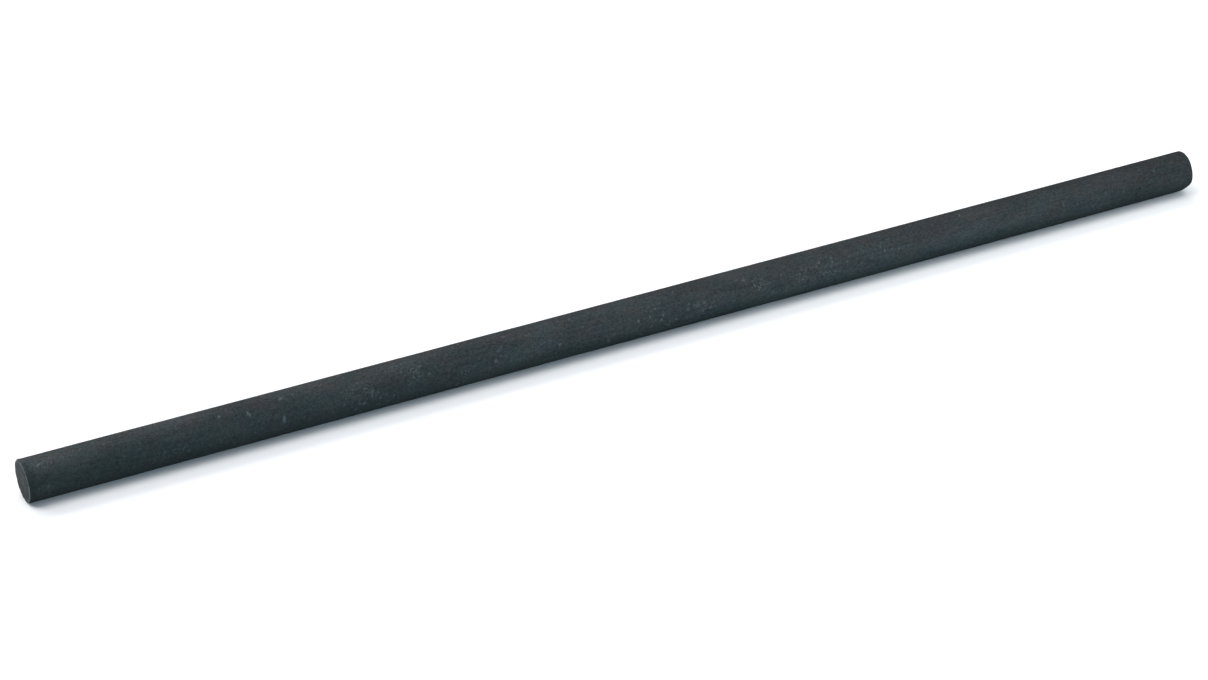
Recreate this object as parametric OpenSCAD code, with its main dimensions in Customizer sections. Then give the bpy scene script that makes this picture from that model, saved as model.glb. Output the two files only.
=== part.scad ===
// Charcoal drawing stick: one straight round rod of drawing charcoal, the same stuff right through.
// It lies on its side, on the plane z = 0, and the origin is on that plane under the middle of the
// rod. +X runs along the rod from the clean sawn end to the worn drawing end, and +Z is up. All
// sizes are in millimetres.

/* [Rod] */
// Length of the rod over its two end faces
rod_length = 150; // [80:1:200]
// Diameter of the rod
rod_diameter = 4.8; // [3:0.1:10]

/* [Rims] */
// Radius of the softened rim at the sawn end, -X
sawn_rim_radius = 0.15; // [0.05:0.05:0.5]
// Radius of the rubbed rim at the worn end, +X
worn_rim_radius = 0.25; // [0.05:0.05:0.7]

/* [Chip at the worn end] */
// How far the chip reaches in from the rod's side over the worn end face
chip_depth = 0.55; // [0.3:0.05:1]
// How far the chip reaches along the rod's side from the worn end face
chip_length = 0.85; // [0.4:0.05:3]
// Where the chip sits round the rod, in degrees from straight down towards -Y
chip_place = 33; // [-180:1:180]

/* [Hidden] */
charcoal_black = [0.21, 0.24, 0.26];
rod_radius = rod_diameter / 2;
straight_length = rod_length - sawn_rim_radius - worn_rim_radius;
chip_slope = atan2(chip_depth, chip_length);
chip_tool_size = 2 * rod_diameter;
$fn = 96;

// A quarter of a disc whose centre is the origin, in the quadrant where X is positive and Y negative.
module quarter_disc(radius) {
    intersection() {
        circle(radius);
        translate([0, -radius]) square(radius);
    }
}

// One end of the half section, from its flat end face on Y = 0 up to Y = rim_radius.
module rounded_end_section(rim_radius) {
    square([rod_radius - rim_radius, rim_radius]);
    translate([rod_radius - rim_radius, rim_radius]) quarter_disc(rim_radius);
}

// The half section that is turned about the rod's axis: X is the radius, and Y runs along the rod.
module rod_section() {
    rounded_end_section(sawn_rim_radius);
    translate([0, sawn_rim_radius]) square([rod_radius, straight_length]);
    translate([0, rod_length]) mirror([0, 1]) rounded_end_section(worn_rim_radius);
}

// The plain rod, lying along X with its lowest line on z = 0.
module rod() {
    translate([-rod_length / 2, 0, rod_radius])
        rotate([90, 0, 90])
            rotate_extrude() rod_section();
}

// The block that takes the chip off the rim of the worn end. Its cutting face leaves the rod's side
// chip_length before the end face, and meets the end face chip_depth in from the side.
module chip_tool() {
    translate([rod_length / 2, 0, rod_radius])
        rotate([-chip_place, 0, 0])
            translate([-chip_length, 0, -rod_radius])
                rotate([0, -chip_slope, 0])
                    translate([-chip_tool_size / 2, -chip_tool_size / 2, -chip_tool_size])
                        cube(chip_tool_size);
}

// The whole stick, which is a single piece with nothing inside it.
module charcoal_stick() {
    color(charcoal_black)
        difference() {
            rod();
            chip_tool();
        }
}

charcoal_stick();
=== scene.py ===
"""A charcoal drawing stick lying on a pale floor: its detailed mesh, its material and a plain soft studio.

The CAD rod gives the place, the length and the diameter. Its plain surface is replaced by one finely
meshed piece, which carries the pressed grain, the lengthwise drag marks, the nicks, the torn rims, the
sawn face and the chip at the worn end. Its colour also holds painted light and shade: highlights on the
rims, shade in the groove by the sawn rim and underneath, and broad paler and darker areas. Lengths are
in metres.
"""
import math

import bpy
import numpy as np
from mathutils import Matrix, Vector, noise


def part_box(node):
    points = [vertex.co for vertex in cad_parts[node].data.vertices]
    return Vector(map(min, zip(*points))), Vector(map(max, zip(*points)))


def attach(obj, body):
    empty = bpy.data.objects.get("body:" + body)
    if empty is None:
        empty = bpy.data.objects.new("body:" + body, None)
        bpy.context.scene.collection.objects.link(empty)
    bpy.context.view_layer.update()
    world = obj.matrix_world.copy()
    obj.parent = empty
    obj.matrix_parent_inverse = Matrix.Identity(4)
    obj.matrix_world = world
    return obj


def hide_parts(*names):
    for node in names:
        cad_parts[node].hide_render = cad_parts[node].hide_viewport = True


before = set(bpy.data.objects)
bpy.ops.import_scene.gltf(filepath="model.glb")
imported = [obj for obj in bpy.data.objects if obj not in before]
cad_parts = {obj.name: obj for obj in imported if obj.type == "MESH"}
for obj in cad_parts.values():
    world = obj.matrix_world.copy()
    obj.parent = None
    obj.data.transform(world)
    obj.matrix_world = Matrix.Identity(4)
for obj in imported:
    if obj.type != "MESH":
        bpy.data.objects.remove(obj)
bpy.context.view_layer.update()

MM = 0.001
NODE = "charcoal_stick"
PIECE = "charcoal_stick_surface"
SEED = 593

low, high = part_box(NODE)
LENGTH = high.x - low.x
RADIUS = (high.y - low.y) / 2
AXIS_Z = low.z + RADIUS
MIDDLE = Vector(((low.x + high.x) / 2, 0.0, AXIS_Z))

# The rims and the chip, as part.scad has them. Angles round the stick start at the top and grow towards +Y.
SAWN_RIM = 0.15 * MM
WORN_RIM = 0.25 * MM
CHIP_DEPTH = 0.55 * MM
CHIP_LENGTH = 0.85 * MM
CHIP_ANGLE = math.radians(180 + 33)

# How far the chip's edge is worn round.
CHIP_WEAR = 0.16 * MM

# Neither end is cut quite square: how far each face leans, as a slope along Y and along Z, and how far from
# the end the lean fades out.
SAWN_LEAN = (-0.026, 0.030)
WORN_LEAN = (0.080, 0.020)
LEAN_REACH = 6 * MM

# The stick isn't quite straight: its middle lies this far out towards -Y.
BOW = 0.05 * MM

# How finely the piece is meshed: under 200,000 triangles in all.
AROUND = 96
SIDE_RINGS = 950
RIM_RINGS = 5
FACE_RINGS = 15

# The side's rings start and stop clear of the rims, and are 1 + CROWDING times as dense by the ends. They are
# placed by adding up their density in SIDE_STEPS steps.
SIDE_START = 0.30 * MM
SIDE_STOP = 0.45 * MM
CROWDING = 1.3
CROWDING_REACH = 2.5 * MM
SIDE_STEPS = 6001


# ---------------------------------------------------------------- shared shapes

# Each seed moves the noise on by this much, in bumps.
SEED_STEP = np.array([17.3, 5.1, 9.7])


def grain(points, size, stretch=1.0, seed=0):
    """Smooth noise from about -1 to 1 over the points, with bumps of about size, drawn out along X."""
    scaled = points / np.array([size * stretch, size, size]) + SEED_STEP * (seed + 1)
    values = [noise.noise(p) for p in scaled.reshape(-1, 3).tolist()]
    return np.array(values).reshape(points.shape[:-1])


def bell(values, centre, width):
    """1 at the centre, about a third one width away from it, and almost nothing beyond two."""
    return np.exp(-((values - centre) / width) ** 2)


def fade(distance, reach):
    """1 at no distance, falling to about a third of itself with each further reach."""
    return np.exp(-distance / reach)


def angle_from(turn, degrees):
    """The angle from the given direction, from -pi to pi."""
    return (turn - math.radians(degrees) + math.pi) % (2 * math.pi) - math.pi


def facing(turn, degrees, width, power=2):
    """1 towards the given direction, fading round the stick over a width in radians.

    A power of 4 gives it a flatter top and steeper sides.
    """
    return np.exp(-(angle_from(turn, degrees) / width) ** power)


# ---------------------------------------------------------------- the undisturbed rod


def rim_sizes(turn, size, waviness, wave, seed):
    """A rim's radius at each angle, which wanders as a torn or rubbed rim does."""
    circle = np.stack([np.zeros_like(turn), np.cos(turn), np.sin(turn)], axis=-1)
    return size * (1 + waviness * grain(circle, wave, seed=seed))


def side_places():
    """Where the side's rings lie along the stick: close together by the ends, where the small shapes are."""
    fine = np.linspace(SIDE_START, LENGTH - SIDE_STOP, SIDE_STEPS)
    crowding = 1 + CROWDING * fade(np.minimum(fine, LENGTH - fine), CROWDING_REACH)
    count = np.concatenate([[0], np.cumsum((crowding[1:] + crowding[:-1]) / 2)])
    return low.x + np.interp(np.linspace(0, count[-1], SIDE_RINGS), count, fine)


def end_rings(end, inward, rim):
    """One end's rings, from near the middle of its face to where its rim meets the side."""
    ones = np.ones(AROUND)
    rings = []
    for k in range(1, FACE_RINGS + 1):
        radius = (RADIUS - rim) * k / (FACE_RINGS + 0.5)
        rings.append((end * ones, radius, -inward * ones, 0 * ones))
    for k in range(RIM_RINGS + 1):
        dip = 1 - math.cos(math.pi / 2 * k / RIM_RINGS)
        rise = math.sin(math.pi / 2 * k / RIM_RINGS)
        radius = RADIUS - rim * (1 - rise)
        rings.append((end + inward * rim * dip, radius, -inward * (1 - dip) * ones, rise * ones))
    return rings


def rod_rings():
    """The rod's rings, from the middle of the sawn face to the middle of the worn one.

    Each ring has a place along X, a radius and a normal (along X, outwards) for each angle round the stick.
    """
    turn = 2 * math.pi * np.arange(AROUND) / AROUND
    ones = np.ones(AROUND)
    sawn = end_rings(low.x, 1, rim_sizes(turn, SAWN_RIM, waviness=0.55, wave=0.35, seed=11))
    side = [(x * ones, RADIUS * ones, 0 * ones, ones) for x in side_places()]
    worn = end_rings(high.x, -1, rim_sizes(turn, WORN_RIM, waviness=0.45, wave=0.70, seed=12))
    return turn, np.array(sawn + side + worn[::-1])


def place_rings(turn, rings):
    """The rings' points and normals, with y and z measured from the stick's axis."""
    across, up = np.sin(turn), np.cos(turn)
    x, radius, normal_x, normal_r = (rings[:, i] for i in range(4))
    points = np.stack([x, radius * across, radius * up], axis=-1)
    normals = np.stack([normal_x, normal_r * across, normal_r * up], axis=-1)
    return points, normals


# ---------------------------------------------------------------- the grain
#
# From here on, a depth is how far the surface sinks. A tone is how much paler (above 0) or darker (below 0)
# the charcoal is there.

# The side's relief: long swells, drag marks, grit and powder. Each has its depth and the size of its bumps in
# millimetres, how much longer than wide they are, and a seed.
SIDE_RELIEF = [
    (0.010, 3.00, 3.0, 1),
    (0.006, 0.33, 14.0, 2),
    (0.005, 0.30, 1.3, 3),
    (0.004, 0.17, 1.0, 4),
]

# An end face's relief, as depths in millimetres: all of it sinks a little and its middle more, and it has
# lumps, grit and the saw's tracks.
FACE_SINK = 0.035
FACE_DISH = 0.035
FACE_LUMPS = 0.030
FACE_GRIT = 0.020
FACE_TRACKS = 0.006

# The face is dished within this share of its radius. The tracks are 2 pi times TRACK_SIZE apart, in a
# direction given along Y and Z, and wander with the lumps.
DISHED = 0.92
TRACK_SIZE = 0.075 * MM
ACROSS_TRACKS = (0.8, 0.6)
TRACK_WANDER = 2.5

# How much paler the two end faces are than the side: partly the cut charcoal's own paleness, and partly
# painted light on the faces.
SAWN_PALENESS = 1.0
WORN_PALENESS = 0.55


def side_grain(points):
    """The unevenness of the pressed and dried rod, as a depth."""
    depth = np.zeros(points.shape[:-1])
    for deep, size, stretch, seed in SIDE_RELIEF:
        depth += deep * grain(points, size * MM, stretch, seed)
    return depth * MM


def face_grain(points):
    """The torn grain of an end face, a little dished, with the faint parallel tracks of a saw, as a depth."""
    lumps = grain(points, 0.75 * MM, seed=5)
    grit = grain(points, 0.32 * MM, seed=6)
    across_tracks = points[..., 1] * ACROSS_TRACKS[0] + points[..., 2] * ACROSS_TRACKS[1]
    tracks = np.sin(across_tracks / TRACK_SIZE + TRACK_WANDER * lumps)
    from_axis = np.hypot(points[..., 1], points[..., 2]) / RADIUS
    dish = 1 - np.clip(from_axis / DISHED, 0, 1) ** 4
    depth = FACE_SINK + FACE_DISH * dish + FACE_LUMPS * lumps + FACE_GRIT * grit + FACE_TRACKS * tracks
    return depth * MM


def face_tones(points):
    """The end faces' tones: both are paler than the side, partly as painted light, and palest at their top
    away from -Y.
    """
    across, up = points[..., 1] / RADIUS, points[..., 2] / RADIUS
    top_corner = bell(across, 0.45, 0.45) * bell(up, 0.55, 0.45)
    patches = 0.75 * grain(points, 0.85 * MM, seed=13) + 0.45 * grain(points, 0.40 * MM, seed=14)
    paleness = np.where(points[..., 0] < 0, SAWN_PALENESS, WORN_PALENESS)
    # Part of the faces' paleness is painted light.
    return paleness * (1.15 + 0.40 * top_corner + patches)


# ---------------------------------------------------------------- nicks and scuffs

# Groups of nicks: how many, between which shares of the length, their widths and depths in millimetres, and
# how much longer than wide they may be.
NICK_GROUPS = [
    (220, (0.01, 0.99), (0.14, 0.24), (0.006, 0.016), 1.6),
    (70, (0.18, 0.70), (0.18, 0.32), (0.010, 0.024), 1.8),
    (30, (0.24, 0.66), (0.22, 0.42), (0.014, 0.034), 2.2),
    (12, (0.05, 0.95), (0.25, 0.45), (0.020, 0.045), 3.0),
]
GROUP_TONES = (0.10, 0.55)

# Clusters of nicks: share of the length, angle in degrees, how many and how far they scatter in millimetres.
NICK_CLUSTERS = [
    (0.265, -90, 16, 1.6),
    (0.300, -50, 14, 1.5),
    (0.365, -72, 10, 1.2),
    (0.500, -74, 14, 2.0),
    (0.540, -82, 12, 1.6),
    (0.620, -68, 16, 2.2),
    (0.700, -66, 8, 2.0),
    (0.330, 60, 14, 2.5),
    (0.580, 130, 14, 2.5),
    (0.420, 178, 10, 3.0),
    (0.780, 40, 10, 2.5),
]
CLUSTER_WIDTHS = (0.15, 0.30)
CLUSTER_DEPTHS = (0.008, 0.022)
CLUSTER_LONGEST = 1.8
CLUSTER_TONES = (0.2, 0.7)

# The marks that stand out: share of the length, angle and slant in degrees, length, width and depth in
# millimetres, and tone. The last three are on the back.
MARKS = [
    (0.011, -26, 35, 0.85, 0.34, 0.018, 0.45),
    (0.014, -88, 15, 0.50, 0.32, 0.014, 0.50),
    (0.007, -88, 15, 0.36, 0.28, 0.012, 0.45),
    (0.193, -77, 85, 1.00, 0.48, 0.024, 0.80),
    (0.168, -38, -65, 0.95, 0.26, 0.030, 0.85),
    (0.147, -25, 15, 0.45, 0.30, 0.016, 0.55),
    (0.195, -20, 10, 0.75, 0.45, 0.016, 0.50),
    (0.240, -84, 70, 0.36, 0.26, 0.014, 0.50),
    (0.256, -92, 10, 0.50, 0.34, 0.018, 0.70),
    (0.269, -89, 30, 0.36, 0.30, 0.016, 0.65),
    (0.363, -73, 35, 0.45, 0.32, 0.022, 0.70),
    (0.369, -44, 50, 1.20, 0.24, 0.014, 0.24),
    (0.416, -76, 50, 0.50, 0.34, 0.020, 0.55),
    (0.483, -69, 70, 0.46, 0.34, 0.024, 0.70),
    (0.504, -71, 60, 0.40, 0.30, 0.020, 0.60),
    (0.503, -83, 80, 0.46, 0.26, 0.018, 0.50),
    (0.535, -65, 85, 0.75, 0.40, 0.014, 0.32),
    (0.545, -85, 20, 0.55, 0.36, 0.016, 0.45),
    (0.870, -65, 60, 0.55, 0.30, 0.016, 0.42),
    (0.911, -62, 30, 0.40, 0.34, 0.012, 0.35),
    (0.962, -35, 75, 0.90, 0.45, 0.008, 0.22),
    (0.981, -25, 20, 0.70, 0.50, 0.008, 0.22),
    (0.240, 95, 40, 0.95, 0.28, 0.030, 0.90),
    (0.710, 80, -30, 0.75, 0.26, 0.028, 0.90),
    (0.470, 150, 65, 0.65, 0.38, 0.022, 0.85),
]

# Patches scuffed by fine slanting scratches: share of the length, angle in degrees, length and width in
# millimetres, and how pale. The last four are on the back.
SCUFFS = [
    (0.589, -58, 2.6, 1.9, 1.00),
    (0.627, -63, 1.8, 1.5, 0.90),
    (0.652, -71, 3.4, 2.0, 0.60),
    (0.536, -74, 2.4, 1.5, 0.45),
    (0.251, -54, 4.6, 1.8, 0.70),
    (0.299, -50, 2.0, 2.4, 0.75),
    (0.290, -19, 5.0, 1.2, 0.60),
    (0.337, -82, 1.8, 1.4, 0.75),
    (0.402, -60, 4.0, 2.4, 0.45),
    (0.020, -20, 5.0, 3.0, 0.45),
    (0.013, -88, 1.6, 1.2, 0.30),
    (0.110, -84, 5.0, 1.2, 0.40),
    (0.740, -70, 5.0, 2.2, 0.25),
    (0.330, 70, 4.5, 2.2, 0.80),
    (0.560, 120, 3.5, 2.6, 0.75),
    (0.820, 55, 5.0, 2.0, 0.60),
    (0.150, 150, 4.0, 2.4, 0.60),
]


def bowl_at(points, turn, share, angle, length, width, slant=0.0):
    """A smooth bowl in the side, from 0 at its edge to 1 in the middle.

    Its length and width are in millimetres, and its angle and slant in degrees.
    """
    slant = math.radians(slant)
    along = points[..., 0] - (low.x + LENGTH * share)
    sideways = RADIUS * angle_from(turn, angle)
    p = along * math.cos(slant) + sideways * math.sin(slant)
    q = -along * math.sin(slant) + sideways * math.cos(slant)
    return np.clip(1 - (p / (length / 2 * MM)) ** 2 - (q / (width / 2 * MM)) ** 2, 0, 1)


def random_nicks(rng):
    """The nicks that lie anywhere and those in clusters, in the same form as MARKS."""
    for count, shares, widths, depths, longest in NICK_GROUPS:
        for _ in range(count):
            width = rng.uniform(*widths)
            length = width * rng.uniform(1.0, longest)
            yield (rng.uniform(*shares), rng.uniform(0, 360), rng.uniform(0, 180), length, width,
                   rng.uniform(*depths), rng.uniform(*GROUP_TONES))
    for share, angle, count, scatter in NICK_CLUSTERS:
        for _ in range(count):
            width = rng.uniform(*CLUSTER_WIDTHS)
            yield (share + rng.normal() * scatter * MM / LENGTH,
                   angle + math.degrees(rng.normal() * 0.5 * scatter * MM / RADIUS),
                   rng.uniform(0, 180), width * rng.uniform(1.0, CLUSTER_LONGEST), width,
                   rng.uniform(*CLUSTER_DEPTHS), rng.uniform(*CLUSTER_TONES))


def nicks(points, turn, rng):
    """The depth and tone of every nick and mark on the side."""
    depth = np.zeros(points.shape[:-1])
    tone = np.zeros(points.shape[:-1])
    ring_places = points[FACE_RINGS:-FACE_RINGS, 0, 0]
    for share, angle, slant, length, width, deep, pale in [*MARKS, *random_nicks(rng)]:
        place = low.x + LENGTH * share
        reach = length * MM
        first, last = np.searchsorted(ring_places, [place - reach, place + reach]) + FACE_RINGS
        near = slice(first, last)
        bowl = bowl_at(points[near], turn, share, angle, length, width, slant)
        depth[near] = np.maximum(depth[near], deep * MM * bowl ** 1.5)
        tone[near] = np.maximum(tone[near], pale * bowl)
    return depth, tone


def scuffs(points, turn):
    """How strongly each point of the side is scuffed, from 0 to 1."""
    strength = np.zeros(points.shape[:-1])
    for share, angle, length, width, pale in SCUFFS:
        patch = bowl_at(points, turn, share, angle, length, width)
        strength = np.maximum(strength, pale * patch ** 0.7)
    return strength


# ---------------------------------------------------------------- painted light and shade, dark lines

# How far inside the rod's corner the painted highlight on the rims is brightest, and over what width.
RIM_HIGHLIGHT_INSET = 0.13 * MM
RIM_HIGHLIGHT_WIDTH = 0.13 * MM

# The groove beside the sawn rim.
GROOVE_DEPTH = 0.030 * MM
GROOVE_PLACE = 0.36 * MM
GROOVE_WIDTH = 0.10 * MM


def painted_rim_highlights(points, turn):
    """A painted highlight along the two rims, patchy, and at the sawn rim brightest towards the front and
    the top.
    """
    from_axis = np.hypot(points[..., 1], points[..., 2])
    at_rim = bell(from_axis, RADIUS - RIM_HIGHLIGHT_INSET, RIM_HIGHLIGHT_WIDTH)
    patchy = 0.75 + 0.6 * grain(points, 0.6 * MM, seed=8)
    at_sawn = fade(points[..., 0] - low.x, 0.12 * MM)
    at_worn = fade(high.x - points[..., 0], 0.20 * MM)
    tone_share = 0.20 + 0.95 * facing(turn, -80, 1.35, power=4) + 0.45 * facing(turn, 20, 0.60)
    return (at_sawn * tone_share + at_worn * 0.35) * at_rim * patchy


def dark_lines(points, turn):
    """The groove's depth, and how dark are the groove (painted shade in it), the belt round it and a ring on
    the sawn face.
    """
    from_sawn = points[..., 0] - low.x
    from_axis = np.hypot(points[..., 1], points[..., 2])
    on_side = from_axis > 0.95 * RADIUS
    towards_front = facing(turn, -80, 1.35, power=4)
    groove = bell(from_sawn, GROOVE_PLACE, GROOVE_WIDTH) * facing(turn, -30, 0.50, power=4)
    belt = bell(from_sawn, 0.40 * MM, 0.30 * MM) * towards_front
    ring = bell(from_axis, RADIUS - 0.78 * MM, 0.22 * MM) * fade(from_sawn, 0.10 * MM) * towards_front
    # The groove's darkness is painted shade.
    dark = on_side * np.maximum(0.65 * groove, 0.30 * belt) + 0.60 * ring
    return GROOVE_DEPTH * on_side * groove, dark


def painted_light_and_shade(points, turn):
    """Painted light and shade over broad areas, as a share of the stick's colour.

    The top is painted paler by the sawn end and darker by the worn one, with a painted highlight on its
    crest by the sawn end. The front is painted darker by the sawn end and paler past the middle, and the
    underside is painted in shade.
    """
    share = (points[..., 0] - low.x) / LENGTH
    top = facing(turn, 10, 0.8)
    front = facing(turn, -78, 0.7)
    under = facing(turn, -140, 0.62)
    crest = facing(turn, 30, 0.45) * fade(share, 0.10)
    paling = 0.18 - 0.42 * share + 0.25 * fade(share, 0.08) - 0.16 * fade(1 - share, 0.10)
    tone_share = 0.34 * bell(share, 0.65, 0.30) - 0.12 - 0.10 * fade(share, 0.15)
    return paling * top + tone_share * front + 0.22 * crest - (0.42 + 0.12 * share) * under


def painted_shade_tint(points, turn):
    """Where the colour takes the cool tint of painted shade, 0 to 1: underneath, and on the front by the sawn
    end.
    """
    share = (points[..., 0] - low.x) / LENGTH
    by_sawn_end = bell(share, 0.0, 0.35)
    under = facing(turn, -125, 0.65)
    front = facing(turn, -75, 0.60)
    return np.maximum(under, by_sawn_end * front)


# ---------------------------------------------------------------- breaks

# The crumbs broken out of the sawn and the worn rim: where the end is, which way is inwards, how many crumbs,
# and the deepest bite in millimetres.
CRUMBS = [
    (low.x, 1, 15, 0.085),
    (high.x, -1, 11, 0.110),
]
CRUMB_SHALLOWEST = 0.03
CRUMB_TONES = (-0.3, 0.4)

# A ball scoops each crumb out: its least and greatest radius in millimetres, how far inside the rod's corner
# it starts to bite, and how much of the way to its middle goes outwards and along.
BALL_SIZES = (0.16, 0.38)
BALL_INSET = 0.05 * MM
DIAGONAL = 0.7

# The burr that the saw left at the top of its rim.
BURR_ANGLE = math.radians(24)
BURR_PLACE = 0.12 * MM
BURR_WIDTH = 0.22 * MM
BURR_HEIGHT = 0.07 * MM

# The chip's break is hollowed by this share of the cut, and no further past this depth of cut.
CHIP_HOLLOWING = 0.18
CHIP_HOLLOW_LIMIT = 0.25 * MM


def outward_at(angle, along=0.0, outward=1.0):
    """The place or direction so far along X, and so far out from the axis at an angle round the stick."""
    return np.array([along, outward * math.sin(angle), outward * math.cos(angle)])


def bite_rims(points, rng):
    """Breaks crumbs out of both rims, each a small ball scooped away, and gives them their tones."""
    points = points.copy()
    tone = np.zeros(points.shape[:-1])
    for end, inward, count, deepest in CRUMBS:
        for _ in range(count):
            angle = rng.uniform(0, 2 * math.pi)
            size = rng.uniform(*BALL_SIZES) * MM
            bite = rng.uniform(CRUMB_SHALLOWEST, deepest) * MM
            corner = outward_at(angle, end + inward * BALL_INSET, RADIUS - BALL_INSET)
            centre = corner + outward_at(angle, -inward * DIAGONAL, DIAGONAL) * (size - bite)
            away = points - centre
            gap = np.linalg.norm(away, axis=-1)
            inside = gap < size
            points[inside] = centre + away[inside] / gap[inside, None] * size
            tone[inside] = rng.uniform(*CRUMB_TONES)
    return points, tone


def raise_burr(points):
    """Lifts the burr at the top of the sawn rim."""
    burr = outward_at(BURR_ANGLE, low.x + BURR_PLACE, RADIUS)
    gap = np.linalg.norm(points - burr, axis=-1)
    lift = BURR_HEIGHT * bell(gap, 0.0, BURR_WIDTH)
    return points + lift[..., None] * outward_at(BURR_ANGLE)


def break_chip(points):
    """The chip at the worn end: a slanting break, hollowed a little and rippled as a brittle stick breaks."""
    down = outward_at(CHIP_ANGLE)
    slope = math.hypot(CHIP_DEPTH, CHIP_LENGTH)
    normal = np.array([CHIP_DEPTH / slope, 0, 0]) + CHIP_LENGTH / slope * down
    edge = np.array([high.x - CHIP_LENGTH, 0, 0]) + RADIUS * down
    beyond = (points - edge) @ normal
    ripple = 0.35 + 0.5 * grain(points, 0.30 * MM, seed=9)
    cut = 0.5 * (beyond + np.hypot(beyond, CHIP_WEAR))
    hollow = CHIP_HOLLOWING * np.clip(cut, 0, CHIP_HOLLOW_LIMIT) * ripple
    tone = np.where(beyond > 0, 0.25 * grain(points, 0.35 * MM, seed=10), 0)
    return points - (cut + hollow)[..., None] * normal, tone


# ---------------------------------------------------------------- the whole shape


def lean_ends(points):
    """Slides the points near each end along the stick, so that the faces lean as they should."""
    points = points.copy()
    for end, inward, lean in ((low.x, 1, SAWN_LEAN), (high.x, -1, WORN_LEAN)):
        slide = RADIUS * math.hypot(*lean) - (lean[0] * points[..., 1] + lean[1] * points[..., 2])
        share = np.clip(1 - np.abs(points[..., 0] - end) / LEAN_REACH, 0, 1)
        points[..., 0] += inward * slide * share
    return points


def bow_and_rest(points):
    """Bends the stick very slightly sideways and flattens the high spots that it rests on."""
    points = points.copy()
    from_middle = (points[..., 0] - MIDDLE.x) / (LENGTH / 2)
    points[..., 1] -= BOW * (1 - from_middle ** 2)
    points[..., 2] = np.maximum(points[..., 2], -RADIUS)
    return points


def shaped_points():
    """The whole surface's points, ring by ring, and what the material reads at each of them.

    Those values are its tone, its painted light and shade with the end faces' tones, the cool tint of its
    painted shade, and how scuffed it is.
    """
    rng = np.random.default_rng(SEED)
    turn, rings = rod_rings()
    points, normals = place_rings(turn, rings)
    outwards = np.hypot(normals[..., 1], normals[..., 2])
    nick_depth, nick_tone = nicks(points, turn, rng)
    scuff = outwards * scuffs(points, turn)
    groove_depth, dark = dark_lines(points, turn)
    # The rims' tone is a painted highlight, less the dark lines, of which the groove's is painted shade.
    rim_tone = painted_rim_highlights(points, turn) - dark
    side_depth = side_grain(points) + nick_depth
    sink = outwards * side_depth + (1 - outwards) * face_grain(points) + groove_depth
    points = points - normals * sink[..., None]
    points, bite_tone = bite_rims(points, rng)
    points, chip_tone = break_chip(raise_burr(points))
    points = bow_and_rest(lean_ends(points))
    tone = outwards * nick_tone + rim_tone + bite_tone + chip_tone
    on_face = np.clip(1 - 2 * outwards, 0, 1)
    # Painted light and shade on the side, the end faces' tones (partly painted light), and shade's cool tint.
    painted_light_and_tone = painted_light_and_shade(points, turn) * (1 - on_face) + on_face * face_tones(points)
    shade_tint = painted_shade_tint(points, turn) * (1 - on_face)
    return points, tone, painted_light_and_tone, shade_tint, scuff


# ---------------------------------------------------------------- the mesh

# The layout that the material is baked in: three lengthwise strips of the side above one another, and the two
# end faces in the row above them, with gaps between. The slack is for the quads that reach past a strip.
STRIPS = 3
GAP = 0.2 * MM
SLACK = 0.4 * MM
ROW = 2 * math.pi * RADIUS + GAP
LAYOUT_WIDTH = (LENGTH + SLACK) / STRIPS + 2 * GAP
LAYOUT_HEIGHT = STRIPS * ROW + 2 * RADIUS + 2 * GAP
LAYOUT_SIZE = max(LAYOUT_WIDTH, LAYOUT_HEIGHT)

# Where the axis is: up to here, y and z were measured from it.
AXIS = np.array([0, 0, AXIS_Z])


def ring_faces(ring_count):
    """The quads between neighbouring rings, facing outwards, as ring and column numbers of their corners."""
    ring, column = np.meshgrid(np.arange(ring_count - 1), np.arange(AROUND), indexing="ij")
    ring, column = ring.ravel(), column.ravel()
    rings = np.stack([ring, ring + 1, ring + 1, ring], axis=-1)
    columns = np.stack([column, column, column + 1, column + 1], axis=-1)
    return rings, columns


def tip_faces(ring_count):
    """The triangles that close the two faces, facing outwards, as corner numbers with the tip's first."""
    column = np.arange(AROUND)
    tip = ring_count * AROUND
    end = (ring_count - 1) * AROUND
    first = np.stack([np.full(AROUND, tip), column, (column + 1) % AROUND], axis=-1)
    last = np.stack([np.full(AROUND, tip + 1), end + (column + 1) % AROUND, end + column], axis=-1)
    return np.concatenate([first, last])


def walked_lengths(coords, ring_count):
    """How far along the surface each ring lies from where the side begins, scaled to the stick's length."""
    steps = np.linalg.norm(np.diff(coords[::AROUND][:ring_count], axis=0), axis=1)
    walked = np.concatenate([[0], np.cumsum(steps)])
    start, stop = walked[FACE_RINGS], walked[-FACE_RINGS - 1]
    return (walked - start) * (LENGTH / (stop - start))


def strip_layout(walked, columns):
    """The places of the side's quads, in metres: along the stick goes right, and round it goes up."""
    strip = np.clip(walked.min(axis=1) // (LENGTH / STRIPS), 0, STRIPS - 1)[:, None]
    rightwards = GAP + walked - strip * LENGTH / STRIPS
    upwards = GAP + strip * ROW + columns * (2 * math.pi * RADIUS / AROUND)
    return np.stack([rightwards, upwards], axis=-1)


def disc_layout(coords, at_worn_end):
    """The places of the end faces, in metres: the sawn face's disc, with the worn one's on its right."""
    flat = coords - AXIS
    centre = GAP + RADIUS + at_worn_end * (2 * RADIUS + GAP)
    rightwards = centre + np.where(at_worn_end, 1, -1) * flat[..., 1]
    upwards = GAP + STRIPS * ROW + RADIUS + flat[..., 2]
    return np.stack([rightwards, upwards], axis=-1)


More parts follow.
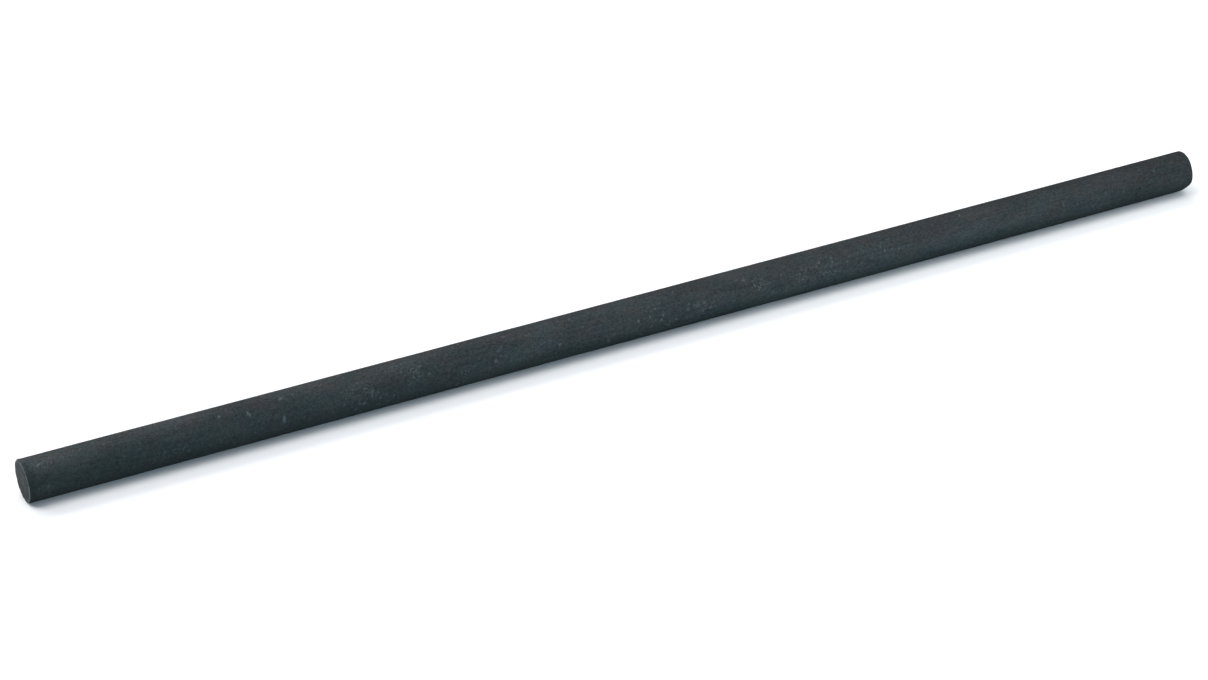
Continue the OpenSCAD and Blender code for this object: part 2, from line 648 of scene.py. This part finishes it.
def bake_layout(coords, rings, columns, corners, ring_count):
    """Each face corner's place in the layout, from 0 to 1."""
    on_side = (rings.min(axis=1) >= FACE_RINGS) & (rings.max(axis=1) < ring_count - FACE_RINGS)
    strips = strip_layout(walked_lengths(coords, ring_count)[rings], columns)
    discs = disc_layout(coords[rings * AROUND + columns % AROUND], rings[:, :1] > ring_count / 2)
    quads = np.where(on_side[:, None, None], strips, discs)
    tips = disc_layout(coords[corners], corners[:, :1] > ring_count * AROUND)
    return np.concatenate([quads.reshape(-1, 2), tips.reshape(-1, 2)]) / LAYOUT_SIZE


def add_object(name, data):
    """A new object in the scene."""
    thing = bpy.data.objects.new(name, data)
    bpy.context.scene.collection.objects.link(thing)
    return thing


def add_values(mesh, name, values, sawn_tip=0.0, worn_tip=0.0):
    """Stores a value at each of the mesh's points, for the material: the rings' values and the two tips'."""
    layer = mesh.attributes.new(name, "FLOAT", "POINT")
    layer.data.foreach_set("value", np.append(values.ravel(), [sawn_tip, worn_tip]).astype(np.float32))


def make_piece(material):
    """The whole stick as one closed mesh, with its tones and its layout for baking."""
    points, tone, painted_light_and_tone, shade_tint, scuff = shaped_points()
    ring_count = len(points)
    tips = np.array([points[0].mean(axis=0), points[-1].mean(axis=0)])
    coords = np.concatenate([points.reshape(-1, 3), tips]) + AXIS
    rings, columns = ring_faces(ring_count)
    corners = tip_faces(ring_count)
    quads = rings * AROUND + columns % AROUND
    mesh = bpy.data.meshes.new(PIECE)
    mesh.from_pydata(coords.tolist(), [], quads.tolist() + corners.tolist())
    layout = mesh.uv_layers.new(name="OFBake")
    layout.data.foreach_set("uv", bake_layout(coords, rings, columns, corners, ring_count).ravel())
    # Tones, painted light and shade with the end faces' tones, the cool tint of painted shade, and scuffs.
    add_values(mesh, "tone", tone)
    add_values(mesh, "painted_light_and_tone", painted_light_and_tone, painted_light_and_tone[0].mean(), painted_light_and_tone[-1].mean())
    add_values(mesh, "shade_tint", shade_tint)
    add_values(mesh, "scuff", scuff)
    mesh.shade_smooth()
    mesh.materials.append(material)
    return add_object(PIECE, mesh)


# ---------------------------------------------------------------- the material

# The charcoal's own colour, and how far its grain takes it down and up.
CHARCOAL = (0.0157, 0.0184, 0.0193)
DARKEST = 0.45
PALEST = 1.65

# What the colour is multiplied by: in the cooler and warmer patches all over it, and where the cool tint
# of painted shade is.
COOLER = (0.93, 1.0, 1.01)
WARMER = (1.08, 1.0, 0.99)
SHADE_TINT_COLOUR = (0.76, 0.98, 0.97)

# The colour of pale dust, which also paints the highlight on the rims, and the near-black of the dark
# tones, which also paints shade in the groove beside the sawn rim.
DUST_AND_HIGHLIGHT = (0.080, 0.088, 0.091)
DARK_AND_SHADE = (0.004, 0.005, 0.006)

# How strongly dust shows in the specks and the scratches, dust and the painted rim highlight in the pale
# tones, and the dark and the painted shade in the dark tones.
SPECK_DUST = 0.40
TONE_DUST_AND_HIGHLIGHT = 0.75
SCRATCH_DUST = 0.50
DARK_AND_SHADE_STRENGTH = 0.9

# How strongly each noise of the grain shows in the colour.
MOTTLE_STRENGTH = 0.60
STREAK_STRENGTH = 0.34
GRIT_STRENGTH = 1.00
POWDER_STRENGTH = 1.20

# The roughness where the grain is darkest and palest, and the faint shine.
ROUGHEST = 0.95
SMOOTHEST = 0.78
SHINE = 0.08

# The bump of the finest grain.
BUMP_STRENGTH = 0.6
BUMP_HEIGHT = 0.03 * MM

# A colour mix node's sockets: its share and its two colours, and the colour it gives.
MIX_SHARE, MIX_A, MIX_B = 0, 6, 7
MIX_RESULT = 2


def add_node(tree, kind, inputs, **settings):
    """A new node. Each of its inputs is a value, or another node's output to join to it."""
    node = tree.nodes.new(kind)
    for name, value in settings.items():
        setattr(node, name, value)
    for name, value in inputs.items():
        if isinstance(value, bpy.types.NodeSocket):
            tree.links.new(value, node.inputs[name])
        else:
            node.inputs[name].default_value = value
    return node


def math_of(tree, operation, a, b, c=0.0):
    """The result of a math operation, such as MULTIPLY_ADD, which is a times b plus c."""
    return add_node(tree, "ShaderNodeMath", {0: a, 1: b, 2: c}, operation=operation).outputs[0]


def mix_of(tree, share, a, b, blend):
    """Two colours mixed in one of Blender's ways."""
    inputs = {MIX_SHARE: share, MIX_A: a, MIX_B: b}
    return add_node(tree, "ShaderNodeMix", inputs, data_type="RGBA", blend_type=blend).outputs[MIX_RESULT]


def blend_of(tree, share, a, b):
    """Colour a, taken towards colour b by the share."""
    return mix_of(tree, share, a, b, "MIX")


def tinted(tree, colour, tint):
    """A colour multiplied by another."""
    return mix_of(tree, 1.0, colour, tint, "MULTIPLY")


def clamped(tree, value):
    """The value held between 0 and 1."""
    return add_node(tree, "ShaderNodeClamp", {"Value": value}).outputs[0]


def values_of(tree, name):
    """The values that the mesh carries under a name."""
    return add_node(tree, "ShaderNodeAttribute", {}, attribute_name=name).outputs["Fac"]


def moved_place(tree, place, scale, shift, rotation=(0, 0, 0), vector_type="POINT"):
    """The place that a pattern is read at, scaled, turned and moved.

    As a POINT the place is scaled and moved. As a TEXTURE the pattern is, so the scale is then a size.
    """
    inputs = {"Vector": place, "Scale": scale, "Location": shift, "Rotation": rotation}
    return add_node(tree, "ShaderNodeMapping", inputs, vector_type=vector_type).outputs[0]


def noise_of(tree, place, size, stretch, detail, seed, sharpness=0.5):
    """Noise round 0.5 with bumps of about size, drawn out along the stick."""
    scale = (1 / (size * stretch), 1 / size, 1 / size)
    moved = moved_place(tree, place, scale, shift=(seed, 3 * seed, 7 * seed))
    texture = add_node(tree, "ShaderNodeTexNoise", {
        "Vector": moved,
        "Scale": 1.0,
        "Detail": detail,
        "Roughness": sharpness,
    })
    return texture.outputs["Fac"]


def ramp_of(tree, value, start, stop, to_low=0.0, to_high=1.0):
    """The value taken smoothly from start and stop to to_low and to_high, and held there beyond them."""
    node = add_node(tree, "ShaderNodeMapRange", {
        "Value": value,
        "From Min": start,
        "From Max": stop,
        "To Min": to_low,
        "To Max": to_high,
    }, interpolation_type="SMOOTHSTEP")
    return node.outputs["Result"]


def specks_of(tree, place, spacing, size, share, seed):
    """Scattered specks, 1 in their middle: one to a cell of a Voronoi pattern, in only some of the cells."""
    scale = (1 / spacing, 1 / spacing, 1 / spacing)
    moved = moved_place(tree, place, scale, shift=(seed, 2 * seed, 5 * seed))
    cells = add_node(tree, "ShaderNodeTexVoronoi", {"Vector": moved, "Scale": 1.0})
    pick = add_node(tree, "ShaderNodeSeparateColor", {"Color": cells.outputs["Color"]})
    chosen = ramp_of(tree, pick.outputs[0], 1 - share, 1 - share + 0.02)
    radius = math_of(tree, "MULTIPLY_ADD", pick.outputs[1], 0.6 * size / spacing, 0.4 * size / spacing)
    distance = math_of(tree, "DIVIDE", cells.outputs["Distance"], radius)
    nearness = math_of(tree, "SUBTRACT", 1.0, distance)
    return math_of(tree, "MULTIPLY", chosen, ramp_of(tree, nearness, 0.0, 0.6))


def scratches_of(tree, place, slant, seed):
    """Fine short scratches that slant across the front and back of the stick by an angle in degrees."""
    size = (0.48 * MM, 0.14 * MM, 0.14 * MM)
    shift = (seed * MM, seed * MM, seed * MM)
    moved = moved_place(tree, place, size, shift, (0, math.radians(slant), 0), "TEXTURE")
    texture = add_node(tree, "ShaderNodeTexNoise", {"Vector": moved, "Scale": 1.0, "Detail": 1.0})
    return ramp_of(tree, texture.outputs["Fac"], 0.58, 0.70)


def grain_level(tree, place, streaks, grit, powder):
    """How pale the grain makes the charcoal, round 0.5: its noises added up, each in its own strength."""
    mottle = noise_of(tree, place, size=2.6 * MM, stretch=3.0, detail=2.0, seed=1)
    level = math_of(tree, "MULTIPLY_ADD", mottle, MOTTLE_STRENGTH, 0.5 - MOTTLE_STRENGTH / 2)
    for layer, strength in ((streaks, STREAK_STRENGTH), (grit, GRIT_STRENGTH), (powder, POWDER_STRENGTH)):
        rest = math_of(tree, "SUBTRACT", level, strength / 2)
        level = math_of(tree, "MULTIPLY_ADD", layer, strength, rest)
    return level


def clean_colour(tree, place, level):
    """The clean charcoal's colour: darker and paler with its grain, and cooler and warmer in patches."""
    dark = tuple(DARKEST * part for part in CHARCOAL) + (1,)
    pale = tuple(PALEST * part for part in CHARCOAL) + (1,)
    hue = noise_of(tree, place, size=1.6 * MM, stretch=1.6, detail=1.0, seed=5)
    tint = blend_of(tree, ramp_of(tree, hue, 0.35, 0.65), (*COOLER, 1), (*WARMER, 1))
    return tinted(tree, blend_of(tree, level, dark, pale), tint)


def dust_specks(tree, place):
    """Fine and large specks of dust, crowded in some places and sparse in others."""
    crowding = noise_of(tree, place, size=2.4 * MM, stretch=2.2, detail=1.0, seed=6)
    fine = specks_of(tree, place, spacing=0.42 * MM, size=0.11 * MM, share=0.40, seed=7)
    large = specks_of(tree, place, spacing=0.95 * MM, size=0.20 * MM, share=0.22, seed=8)
    crowded = ramp_of(tree, crowding, 0.44, 0.66, 0.25, 1.0)
    return math_of(tree, "MULTIPLY", math_of(tree, "MAXIMUM", fine, large), crowded)


def scratched_patches(tree, place):
    """The scratches, which slant two ways, where the stick is scuffed."""
    one_way = scratches_of(tree, place, slant=50, seed=9)
    other_way = scratches_of(tree, place, slant=-60, seed=10)
    scratches = math_of(tree, "MAXIMUM", one_way, other_way)
    return math_of(tree, "MULTIPLY", scratches, values_of(tree, "scuff"))


def dust_and_highlight_share(tree, place, tone):
    """How far the pale colour covers each place: dust in specks, nicks and scratches, and the painted
    highlight on the rims, whichever is most.
    """
    specks = math_of(tree, "MULTIPLY", dust_specks(tree, place), SPECK_DUST)
    tone_share = math_of(tree, "MULTIPLY", tone, TONE_DUST_AND_HIGHLIGHT)
    scratched = math_of(tree, "MULTIPLY", scratched_patches(tree, place), SCRATCH_DUST)
    paling = math_of(tree, "MAXIMUM", specks, tone_share)
    return clamped(tree, math_of(tree, "MAXIMUM", paling, scratched))


def colour_with_dust_and_painted_light(tree, place, colour):
    """The colour with dust, the painted rim highlight, dark tones with painted shade in the groove, the cool
    tint of painted shade, and the broad painted light and shade.
    """
    # Dust and painted rim highlight, dark and painted shade, painted shade's cool tint, broad painted light.
    tone = values_of(tree, "tone")
    darkened_and_shaded = clamped(tree, math_of(tree, "MULTIPLY", tone, -DARK_AND_SHADE_STRENGTH))
    shade_tint_factor = blend_of(tree, values_of(tree, "shade_tint"), (1, 1, 1, 1), (*SHADE_TINT_COLOUR, 1))
    brightness = math_of(tree, "ADD", values_of(tree, "painted_light_and_tone"), 1.0)
    colour = blend_of(tree, dust_and_highlight_share(tree, place, tone), colour, (*DUST_AND_HIGHLIGHT, 1))
    colour = blend_of(tree, darkened_and_shaded, colour, (*DARK_AND_SHADE, 1))
    colour = tinted(tree, colour, shade_tint_factor)
    inputs = {"Vector": colour, "Scale": brightness}
    return add_node(tree, "ShaderNodeVectorMath", inputs, operation="SCALE").outputs[0]


def bump_of(tree, streaks, grit, powder):
    """The finest grain as a bump."""
    height = math_of(tree, "MULTIPLY_ADD", grit, 1.0, math_of(tree, "MULTIPLY", powder, 0.5))
    height = math_of(tree, "MULTIPLY_ADD", streaks, 0.5, height)
    inputs = {"Height": height, "Strength": BUMP_STRENGTH, "Distance": BUMP_HEIGHT}
    return add_node(tree, "ShaderNodeBump", inputs).outputs[0]


def charcoal_material():
    """Matt black-grey charcoal: mottled, streaked along its length, grainy, and dusty in nicks and specks."""
    material = bpy.data.materials.new("charcoal")
    material.use_nodes = True
    tree = material.node_tree
    shader = tree.nodes["Principled BSDF"]
    place = add_node(tree, "ShaderNodeTexCoord", {}).outputs["Object"]
    streaks = noise_of(tree, place, size=0.26 * MM, stretch=22.0, detail=2.0, seed=2)
    grit = noise_of(tree, place, size=0.32 * MM, stretch=1.4, detail=3.0, seed=3, sharpness=0.65)
    powder = noise_of(tree, place, size=0.17 * MM, stretch=1.1, detail=2.0, seed=4, sharpness=0.6)
    level = grain_level(tree, place, streaks, grit, powder)
    colour = colour_with_dust_and_painted_light(tree, place, clean_colour(tree, place, level))
    tree.links.new(colour, shader.inputs["Base Color"])
    tree.links.new(ramp_of(tree, level, 0.1, 0.9, ROUGHEST, SMOOTHEST), shader.inputs["Roughness"])
    tree.links.new(bump_of(tree, streaks, grit, powder), shader.inputs["Normal"])
    shader.inputs["Specular IOR Level"].default_value = SHINE
    return material


# ---------------------------------------------------------------- the studio

# The camera: where it stands round the stick in degrees, how far away, its lens and sensor in millimetres,
# how far from the stick's middle it aims, and between which distances it sees.
VIEW_AZIMUTH = -28.58
VIEW_ELEVATION = 29.76
VIEW_DISTANCE = 396.95 * MM
LENS = 104.42
SENSOR_WIDTH = 36
AIM_RIGHT = -5.02 * MM
AIM_UP = -2.99 * MM
NEAREST_SEEN = 0.01
FARTHEST_SEEN = 20

# The floor is a round table top.
FLOOR_RADIUS = 0.4
FLOOR_SIDES = 96
FLOOR_COLOUR = (0.55, 0.55, 0.55)
FLOOR_ROUGHNESS = 0.9

# The backdrop is a little brighter than white, as the lit floor is.
BACKDROP_STRENGTH = 1.25

# The studio's soft lights: name, azimuth and elevation in degrees, distance and size in metres, power in
# watts and colour.
WHITE_LIGHT = (1.0, 1.0, 1.02)
SOFTBOXES = [
    ("key_behind", 180, 50, 3.0, 1.5, 69.0, WHITE_LIGHT),
    ("key_behind_left", -135, 35, 3.0, 1.5, 47.6, WHITE_LIGHT),
    ("key_behind_right", 135, 45, 3.0, 1.5, 10.3, WHITE_LIGHT),
    ("key_left", -90, 60, 3.0, 1.5, 70.4, WHITE_LIGHT),
    ("key_right", 90, 60, 3.0, 1.5, 28.1, WHITE_LIGHT),
    ("overhead_front", 0, 65, 3.0, 1.5, 29.9, WHITE_LIGHT),
    ("fill_front", 0, 15, 3.0, 1.5, 77.5, (0.6, 0.84, 1.0)),
    ("fill_right", 60, 15, 0.3, 0.2, 0.67, (0.9, 0.97, 1.0)),
]


def direction_at(azimuth, elevation):
    """The direction at an azimuth and an elevation in degrees. Azimuth 0 is towards -Y, and 90 towards +X."""
    turn, rise = math.radians(azimuth), math.radians(elevation)
    return Vector((
        math.sin(turn) * math.cos(rise),
        -math.cos(turn) * math.cos(rise),
        math.sin(rise),
    ))


def looking_back(direction):
    """The rotation of a camera or a light that stands in that direction and faces the other way."""
    return direction.to_track_quat("Z", "Y").to_matrix()


def add_camera():
    """The camera, which looks a little past the stick's middle."""
    back = direction_at(VIEW_AZIMUTH, VIEW_ELEVATION)
    turn = looking_back(back)
    right, up = turn.col[0], turn.col[1]
    aim = MIDDLE + AIM_RIGHT * right + AIM_UP * up
    data = bpy.data.cameras.new("camera")
    data.lens = LENS
    data.sensor_width = SENSOR_WIDTH
    data.clip_start = NEAREST_SEEN
    data.clip_end = FARTHEST_SEEN
    camera = add_object("camera", data)
    camera.matrix_world = Matrix.Translation(aim + VIEW_DISTANCE * back) @ turn.to_4x4()
    bpy.context.scene.camera = camera


def add_floor():
    """A pale round table top."""
    turn = np.linspace(0, 2 * math.pi, FLOOR_SIDES, endpoint=False)
    rim = [(FLOOR_RADIUS * math.cos(t), FLOOR_RADIUS * math.sin(t), low.z) for t in turn]
    mesh = bpy.data.meshes.new("floor")
    mesh.from_pydata(rim, [], [tuple(range(len(rim)))])
    material = bpy.data.materials.new("pale_floor")
    material.use_nodes = True
    shader = material.node_tree.nodes["Principled BSDF"]
    shader.inputs["Base Color"].default_value = (*FLOOR_COLOUR, 1)
    shader.inputs["Roughness"].default_value = FLOOR_ROUGHNESS
    shader.inputs["Specular IOR Level"].default_value = 0.0
    mesh.materials.append(material)
    floor = add_object("floor", mesh)


def add_softbox(name, azimuth, elevation, distance, size, power, colour):
    """A square area light that faces the stick's middle."""
    away = direction_at(azimuth, elevation)
    data = bpy.data.lights.new(name, "AREA")
    data.shape = "SQUARE"
    data.size = size
    data.energy = power
    data.color = colour
    light = add_object(name, data)
    light.visible_camera = False
    light.matrix_world = Matrix.Translation(MIDDLE + distance * away) @ looking_back(away).to_4x4()


def add_backdrop():
    """A plain white background beyond the floor. It is only seen, and gives the stick no light."""
    world = bpy.data.worlds.new("backdrop")
    bpy.context.scene.world = world
    world.use_nodes = True
    background = world.node_tree.nodes["Background"]
    background.inputs["Color"].default_value = (1, 1, 1, 1)
    background.inputs["Strength"].default_value = BACKDROP_STRENGTH
    world.cycles_visibility.diffuse = False
    world.cycles_visibility.glossy = False


piece = make_piece(charcoal_material())
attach(piece, "root")
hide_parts(NODE)

add_floor()
add_camera()
for softbox in SOFTBOXES:
    add_softbox(*softbox)
add_backdrop()
bpy.context.scene.view_settings.view_transform = "Standard"
